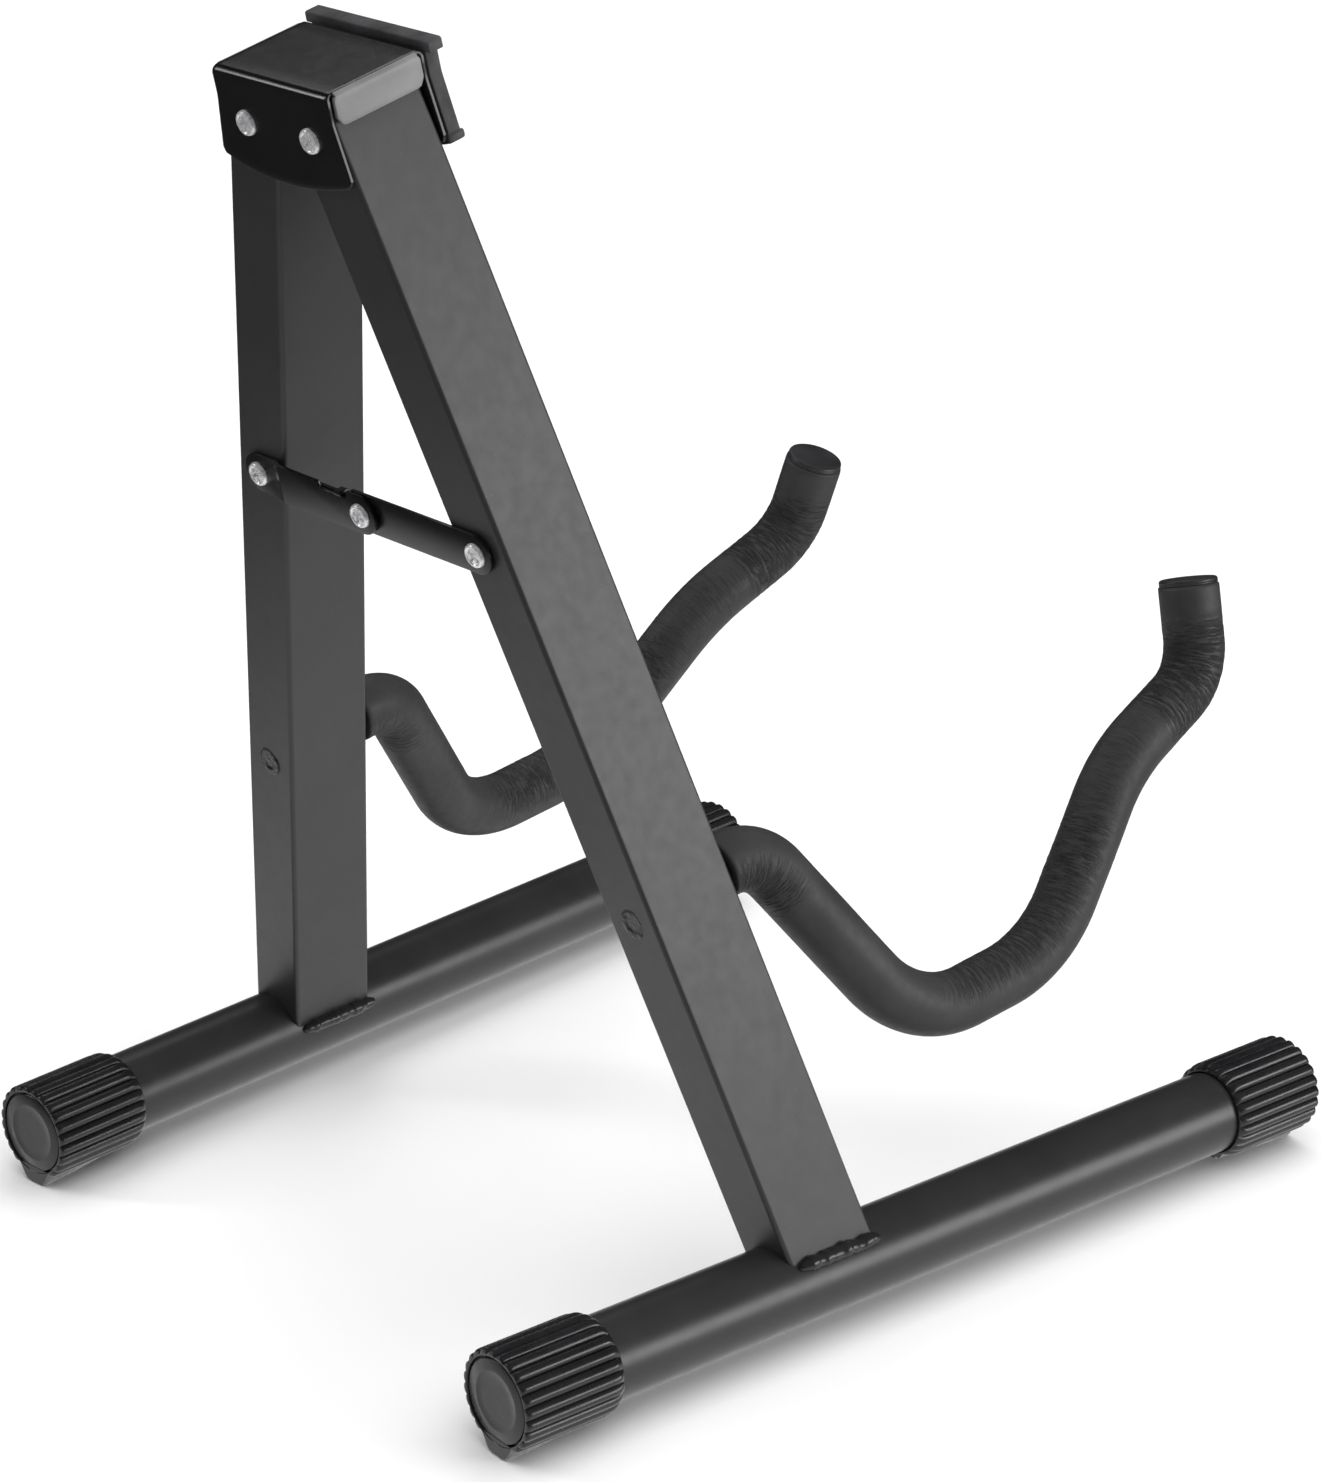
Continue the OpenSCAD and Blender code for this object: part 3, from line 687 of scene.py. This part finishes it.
def make_cap(name, place, body, node):
    cap = Shape()
    n = RIBS * PER_RIB
    # depth from the closed end, radius of the core, share of the rib height
    v = CAP_VALLEY
    profile = [(0.5, 0.0, 0), (0.45, 6.0, 0), (0.4, 8.6, 0), (0.28, 8.9, 0), (0.4, 9.2, 0), (0.42, 12.1, 0),
               (0.6, 12.35, 0), (1.5, 12.42, 0), (1.55, 12.85, 0), (0.5, 12.92, 0), (0.2, 13.1, 0),
               (0.12, v - 0.2, 0.1), (0.2, v, 0.5), (0.45, v, 0.78), (0.9, v, 0.93), (1.8, v, 1.0)]
    profile += [(1.8 + k * (CAP_LEN - 6.2) / 10, v, 1.0) for k in range(1, 11)]
    profile += [(CAP_LEN - 3.2, v, 0.97), (CAP_LEN - 2.1, v, 0.86), (CAP_LEN - 1.2, v, 0.66),
                (CAP_LEN - 0.5, v, 0.4), (CAP_LEN - 0.1, v, 0.12), (CAP_LEN, v - 0.3, 0.0),
                (CAP_LEN, 12.9, 0.0), (CAP_LEN - 0.4, 12.62, 0.0), (CAP_LEN - 6, 12.62, 0.0)]

    def spot(i, j):
        y, r, share = profile[i + 1]
        a = 2 * math.pi * j / n
        r += (CAP_R - CAP_VALLEY) * share * rib(a)
        return r * math.cos(a), y, r * math.sin(a)

    base = cap.grid(len(profile) - 1, n, spot, wrap=True)
    cap.fan([base + j for j in range(n)], (0, profile[0][0], 0), flip=True)
    cap.build(name, place, body, CAP, replaces=[node], sharp=60)

    foot = Shape()
    rows, cols = 40, 11

    def tread(i, j):
        y = 0.35 + (CAP_LEN - 0.6) * i / (rows - 1)
        t = i / (rows - 1)
        low = -FOOT_H if y < 4.5 else -FOOT_H + 2.0 * smooth01((y - 4.5) / 30)
        low += 0.25 * (0.5 + 0.5 * math.cos(y * 2.2)) if y > 5 else 0
        low += 0.8 * smooth01(1 - y / 1.4) + 0.6 * smooth01((t - 0.93) / 0.07)
        x = [-6.9, -5.4, -4.1, -3.4, -1.7, 0, 1.7, 3.4, 4.1, 5.4, 6.9][j]
        z = [-11.5, -13.8, low + 0.9, low + 0.15, low, low, low, low + 0.15, low + 0.9, -13.8, -11.5][j]
        return x, y, z

    b = foot.grid(rows, cols, tread)
    foot.faces.append(tuple(b + j for j in range(cols)))
    foot.faces.append(tuple(reversed([b + (rows - 1) * cols + j for j in range(cols)])))
    for i in range(rows - 1):
        here, there = b + i * cols, b + (i + 1) * cols
        foot.faces.append((here, there, there + cols - 1, here + cols - 1))
    foot.build(name + "_foot", place, body, CAP, sharp=50)


def make_caps():
    for name, s in HALVES:
        rear = floor_frame(s) @ T(0, -TUBE_BACK, 0)
        front = floor_frame(s) @ T(0, TUBE_FRONT, 0) @ Matrix.Diagonal((1, -1, 1, 1))
        make_cap(name + "_ribbed_cap_rear", rear, name + "_side", name + "_rear_cap")
        make_cap(name + "_ribbed_cap_front", front, name + "_side", name + "_front_cap")


# ---------------------------------------------------------------- foam arms


def arm_route(step):
    """Points along the bent arm as (s, position, tangent), and the arm's whole length."""
    pts = [(FOAM_START, 0.0)] + [(float(a), float(b)) for a, b in ARM_BENDS] + [ARM_TIP]
    p = [Vector((a, -b)) for a, b in pts]
    dirs = [(p[i + 1] - p[i]).normalized() for i in range(len(p) - 1)]
    cuts = [0.0] + [ARM_RADII[i] * math.tan(dirs[i].angle(dirs[i + 1]) / 2) for i in range(5)] + [0.0]
    route, s = [], 0.0
    for i, d in enumerate(dirs):
        a, b = p[i] + d * cuts[i], p[i + 1] - d * cuts[i + 1]
        length = (b - a).length
        count = max(1, round(length / step))
        for k in range(count):
            route.append((s + length * k / count, a.lerp(b, k / count), d))
        s += length
        if i < 5:
            e = dirs[i + 1]
            turn = 1 if d.x * e.y - d.y * e.x > 0 else -1
            swing = d.angle(e)
            left = Vector((-d.y, d.x)) * turn
            centre = b + left * ARM_RADII[i]
            length = ARM_RADII[i] * swing
            count = max(1, round(length / step))
            for k in range(count):
                a1 = turn * swing * k / count
                c, q = math.cos(a1), math.sin(a1)
                arm = -left
                at = centre + ARM_RADII[i] * Vector((arm.x * c - arm.y * q, arm.x * q + arm.y * c))
                go = Vector((d.x * c - d.y * q, d.x * q + d.y * c))
                route.append((s + length * k / count, at, go))
            s += length
        else:
            route.append((s, b, d))
    return route, s


FOAM_GIRTH = 59.0  # distance round the sleeve, so that its two coordinates share a scale


def wrinkle_amount(s, total, inner_up):
    """How creased the sleeve is at s, which also sets how much painted shade darkens the foam's colour
    there; inner_up is 1 on the upper side of the arm, -1 below.
    """
    from_tip = total - s
    tip = ridge(from_tip, 15, 46, 9)
    first = ridge(s, 4, 26, 8) * smooth01(0.5 - inner_up)
    dip = ridge(s, 105, 172, 22) * smooth01(0.35 + inner_up)
    rise = ridge(from_tip, 62, 104, 18) * 0.35 * smooth01(0.3 + inner_up)
    return min(1.0, tip + 0.75 * first + 0.7 * dip + rise)


def make_sleeve(name, s_side):
    step = 0.55
    route, total = arm_route(step)
    n = 72
    sleeve = Shape()
    levels = []

    def ring(s, at, go, radius, wrinkled):
        up = Vector((-go.y, go.x))
        row = []
        for j in range(n):
            a = 2 * math.pi * j / n
            ca, sa = math.cos(a), math.sin(a)
            r = radius
            level = 0.0
            if wrinkled:
                level = wrinkle_amount(s, total, ca)
                p = Vector((s * 0.55, a * 1.2 * (1 if a < math.pi else -1), s_side * 4.0))
                fine = Vector((s * 1.3, ca * 2.2, sa * 2.2 + s_side))
                fold = noise.noise(p) * 0.6 + noise.noise(fine) * 0.5
                r += -0.10 * level * smooth01(0.5 + fold * 1.6)
                r += 0.12 * noise.noise(Vector((s * 0.05, ca, sa + s_side * 3)))
            off = up * (ca * r)
            row.append((sa * r, at.x + off.x, at.y + off.y))
            levels.append(level)
        return row

    rows = []
    start = route[0]
    mouth = ((2.5, FOAM_BORE), (0.35, FOAM_BORE), (0.0, FOAM_BORE + 0.4),
             (0.0, FOAM_R - 0.6), (0.3, FOAM_R - 0.12))
    for depth, radius in mouth:
        rows.append((start[0] + depth, start[1] + start[2] * depth, start[2], radius, False))
    for s, at, go in route[1:-1]:
        if 0.7 < s < total - 0.7:
            rows.append((s, at, go, FOAM_R, True))
    end = route[-1]
    tail = ((0.3, FOAM_R - 0.12), (0.0, FOAM_R - 0.6), (0.0, FOAM_BORE + 0.4), (2.5, FOAM_BORE))
    for depth, radius in tail:
        rows.append((total - depth, end[1] - end[2] * depth, end[2], radius, False))
    made = [ring(*row) for row in rows]
    sleeve.grid(len(made), n, lambda i, j: made[i][j], wrap=True)
    # built by hand, to keep the vertex order for the attribute and the sleeve's own coordinates
    place = Matrix.Scale(MM, 4) @ arm_frame(s_side)
    mesh = bpy.data.meshes.new(name)
    flip = place.determinant() < 0
    verts = [place @ Vector(v) for v in sleeve.verts]
    faces = [f if flip else tuple(reversed(f)) for f in sleeve.faces]
    mesh.from_pydata(verts, [], faces)
    uv = mesh.uv_layers.new(name="sleeve")
    for poly in mesh.polygons:
        cols = [mesh.loops[k].vertex_index % n for k in poly.loop_indices]
        wraps = max(cols) - min(cols) > n / 2
        for k, c in zip(poly.loop_indices, cols):
            v = mesh.loops[k].vertex_index
            u = (c + n if wraps and c < n / 2 else c) / n
            uv.data[k].uv = (u, rows[v // n][0] / FOAM_GIRTH)
    a = mesh.attributes.new("wrinkle", "FLOAT", "POINT")
    a.data.foreach_set("value", levels)
    mesh.polygons.foreach_set("use_smooth", [True] * len(mesh.polygons))
    mesh.set_sharp_from_angle(angle=math.radians(55))
    mesh.materials.append(FOAM)
    obj = bpy.data.objects.new(name, mesh)
    bpy.context.scene.collection.objects.link(obj)
    half = half_name(s_side)
    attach(obj, half + "_side")
    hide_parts(half + "_foam_sleeve")


def make_plug(name, s):
    plug = Shape()
    up = Vector((TIP_DIR[0], -TIP_DIR[1]))
    lean = math.atan2(up.y, up.x) - math.pi / 2
    stem = [(0, -8), (4.15, -8), (4.2, -0.1)]
    rim = [(8.6, -0.1), (8.95, 0.15), (9.0, 0.55), (8.86, 0.7), (8.98, 0.85), (8.95, 1.35), (8.75, 1.7)]
    crown = [(8.35, 1.9), (7.9, 1.93), (7.6, 1.84), (7.2, 1.9), (5.0, 2.0), (2.5, 2.06), (0, 2.08)]
    plug.lathe(stem + rim + crown, 72, axis="z")
    place = arm_frame(s) @ T(0, ARM_TIP[0], -ARM_TIP[1]) @ R(lean, "X")
    plug.build(name, place, half_name(s) + "_side", PLUG,
               replaces=[half_name(s) + "_tip_plug"], sharp=60)


def make_rod_end(name, s):
    """The rod's end, its uneven weld, and a flat near-black ring round it on the leg's rear face: painted
    shade in place of the shadowed gap round the rod.
    """
    end = Shape()
    n, rings = 64, 16

    def spot(i, j):
        a = 2 * math.pi * j / n
        lobe = smooth01(0.5 + 0.9 * math.cos(a - math.radians(215)))
        edge = 3.7 + 0.72 * lobe
        r = edge * (i + 1) / rings
        lift = 0.35 * lobe * smooth01((r - 1.6) / 1.6) * smooth01((edge - r) / 0.5 + 0.4)
        lift += 0.16 * noise.noise(Vector((r * math.cos(a) * 0.9, r * math.sin(a) * 0.9, s * 5.0)))
        return r * math.cos(a), -LEG_D / 2 - 0.02 - lift, r * math.sin(a)

    base = end.grid(rings, n, spot, wrap=True)
    end.fan([base + j for j in range(n)], (0, -LEG_D / 2 - 0.02, 0), flip=True)

    def back_edge(i, j):
        a = 2 * math.pi * j / n
        return 3.6 * math.cos(a), -LEG_D / 2 + 1.2, 3.6 * math.sin(a)

    rim = end.grid(1, n, back_edge, wrap=True)
    last = base + (rings - 1) * n
    for j in range(n):
        k = (j + 1) % n
        end.faces.append((last + j, last + k, rim + k, rim + j))
    end.fan([rim + j for j in range(n)], (0, -LEG_D / 2 + 1.2, 0))
    body = half_name(s) + "_side"
    end.build(name, arm_frame(s), body, WELD_COAT, sharp=60)

    # painted shade: a flat near-black ring laid just off the leg's rear face, where the gap round the rod
    # lies in shadow
    shade_ring = Shape()

    def shade_ring_edge(i, j):
        a = 2 * math.pi * j / n
        r = 3.8 if i else 4.45 + 0.35 * math.cos(a - math.radians(40))
        return r * math.cos(a), -LEG_D / 2 - 0.03, r * math.sin(a)

    shade_ring.grid(2, n, shade_ring_edge, wrap=True)
    shade_ring.build(name + "_painted_gap_shade", arm_frame(s), body, GAP_SHADE_COAT)


make_head()
make_pad()
make_screws()
make_plates()
make_welds()
make_caps()
for half, s in HALVES:
    make_sleeve(half + "_foam_arm", s)
    make_tube(half + "_smooth_floor_tube", s)
    make_plug(half + "_arm_plug", s)
    make_rod_end(half + "_rod_end", s)

# ---------------------------------------------------------------- stage
scene = bpy.context.scene
scene.view_settings.view_transform = "Standard"
scene.view_settings.look = "None"

floor_mesh = bpy.data.meshes.new("floor")
floor_mesh.from_pydata([(-6, -6, 0), (6, -6, 0), (6, 6, 0), (-6, 6, 0)], [], [(0, 1, 2, 3)])
floor = bpy.data.objects.new("floor", floor_mesh)
scene.collection.objects.link(floor)
pale = bpy.data.materials.new("pale_floor")
pale.use_nodes = True
pale.node_tree.nodes["Principled BSDF"].inputs["Base Color"].default_value = (0.92, 0.92, 0.92, 1)
pale.node_tree.nodes["Principled BSDF"].inputs["Roughness"].default_value = 0.9
pale.node_tree.nodes["Principled BSDF"].inputs["Specular IOR Level"].default_value = 0.1
floor_mesh.materials.append(pale)
floor.visible_glossy = False

# A pool of light on the table that only reflections see, so that the paint darkens with height
card_mesh = bpy.data.meshes.new("light_pool")
card_mesh.from_pydata([(-1.5, -1.5, 0), (1.5, -1.5, 0), (1.5, 1.5, 0), (-1.5, 1.5, 0)], [], [(0, 1, 2, 3)])
card = bpy.data.objects.new("light_pool", card_mesh)
card.location.z = -0.0005
scene.collection.objects.link(card)
glow = bpy.data.materials.new("light_pool")
glow.use_nodes = True
glow_nodes, glow_links = glow.node_tree.nodes, glow.node_tree.links
place = glow_nodes.new("ShaderNodeTexCoord")
far = glow_nodes.new("ShaderNodeVectorMath")
far.operation = "LENGTH"
glow_links.new(place.outputs["Object"], far.inputs[0])
fall = glow_nodes.new("ShaderNodeMapRange")
fall.interpolation_type = "SMOOTHSTEP"
for key, v in (("From Min", 0.18), ("From Max", 0.55), ("To Min", 1.05), ("To Max", 0.07)):
    fall.inputs[key].default_value = v
glow_links.new(far.outputs["Value"], fall.inputs["Value"])
lamp = glow_nodes.new("ShaderNodeEmission")
glow_links.new(fall.outputs["Result"], lamp.inputs["Strength"])
glow_links.new(lamp.outputs["Emission"], glow_nodes["Material Output"].inputs["Surface"])
card_mesh.materials.append(glow)
for seen in ("camera", "diffuse", "transmission", "volume_scatter", "shadow"):
    setattr(card, "visible_" + seen, False)

target = Vector((0, PIVOT_Y + 120.5, FOOT_H + 115.6)) * MM
az, el, dist = math.radians(47.17), math.radians(22.03), 1.29665
back = Vector((math.sin(az) * math.cos(el), -math.cos(az) * math.cos(el), math.sin(el)))
cam = bpy.data.cameras.new("camera")
cam.sensor_fit = "HORIZONTAL"
cam.sensor_width = 36
cam.lens = 117.74
cam_obj = bpy.data.objects.new("camera", cam)
cam_obj.location = target + back * dist
cam_obj.rotation_euler = (-back).to_track_quat("-Z", "Y").to_euler()
scene.collection.objects.link(cam_obj)
scene.camera = cam_obj


def softbox(name, spot, aim, width, height, power, glossy=True):
    light = bpy.data.lights.new(name, "AREA")
    light.shape = "RECTANGLE"
    light.size, light.size_y, light.energy = width, height, power
    obj = bpy.data.objects.new(name, light)
    obj.location = spot
    obj.rotation_euler = (Vector(aim) - Vector(spot)).to_track_quat("-Z", "Y").to_euler()
    obj.visible_glossy = glossy
    scene.collection.objects.link(obj)


MIDDLE = (0, 0, 0.15)
softbox("right_wall", (1.9, 1.15, 0.30), MIDDLE, 1.5, 1.0, 34)
softbox("rear_strip", (-1.4, -1.25, 1.05), (0, 0, 0.3), 0.22, 0.9, 9)
softbox("left_high", (-1.6, 0.9, 1.9), MIDDLE, 0.8, 0.3, 3)

sky = bpy.data.lights.new("sky", "SUN")
sky.energy = 3.5
sky.angle = math.radians(95)
sky_obj = bpy.data.objects.new("sky", sky)
sky_obj.rotation_euler = (math.radians(-8), math.radians(10), 0)
sky_obj.visible_glossy = False
scene.collection.objects.link(sky_obj)

# A studio surround: two soft bright areas, to the right and to the left, in a dim room
world = bpy.data.worlds.new("studio")
world.use_nodes = True
scene.world = world
nodes, links = world.node_tree.nodes, world.node_tree.links
coord = nodes.new("ShaderNodeTexCoord")


def lobe(direction, lo, hi, gain):
    d = nodes.new("ShaderNodeVectorMath")
    d.operation = "DOT_PRODUCT"
    d.inputs[1].default_value = Vector(direction).normalized()
    links.new(coord.outputs["Generated"], d.inputs[0])
    r = nodes.new("ShaderNodeMapRange")
    r.interpolation_type = "SMOOTHSTEP"
    for key, v in (("From Min", lo), ("From Max", hi), ("To Min", 0.0), ("To Max", gain)):
        r.inputs[key].default_value = v
    links.new(d.outputs["Value"], r.inputs["Value"])
    return r.outputs["Result"]


def plus(a, b):
    add = nodes.new("ShaderNodeMath")
    add.operation = "ADD"
    for socket, v in zip(add.inputs, (a, b)):
        if isinstance(v, float):
            socket.default_value = v
        else:
            links.new(v, socket)
    return add.outputs["Value"]


right_light = lobe((0.85, 0.5, 0.0), 0.4, 0.95, 0.6)
left_light = lobe((-0.9, 0.3, 0.3), 0.6, 1.0, 0.35)
links.new(plus(plus(right_light, left_light), 0.05), nodes["Background"].inputs["Strength"])
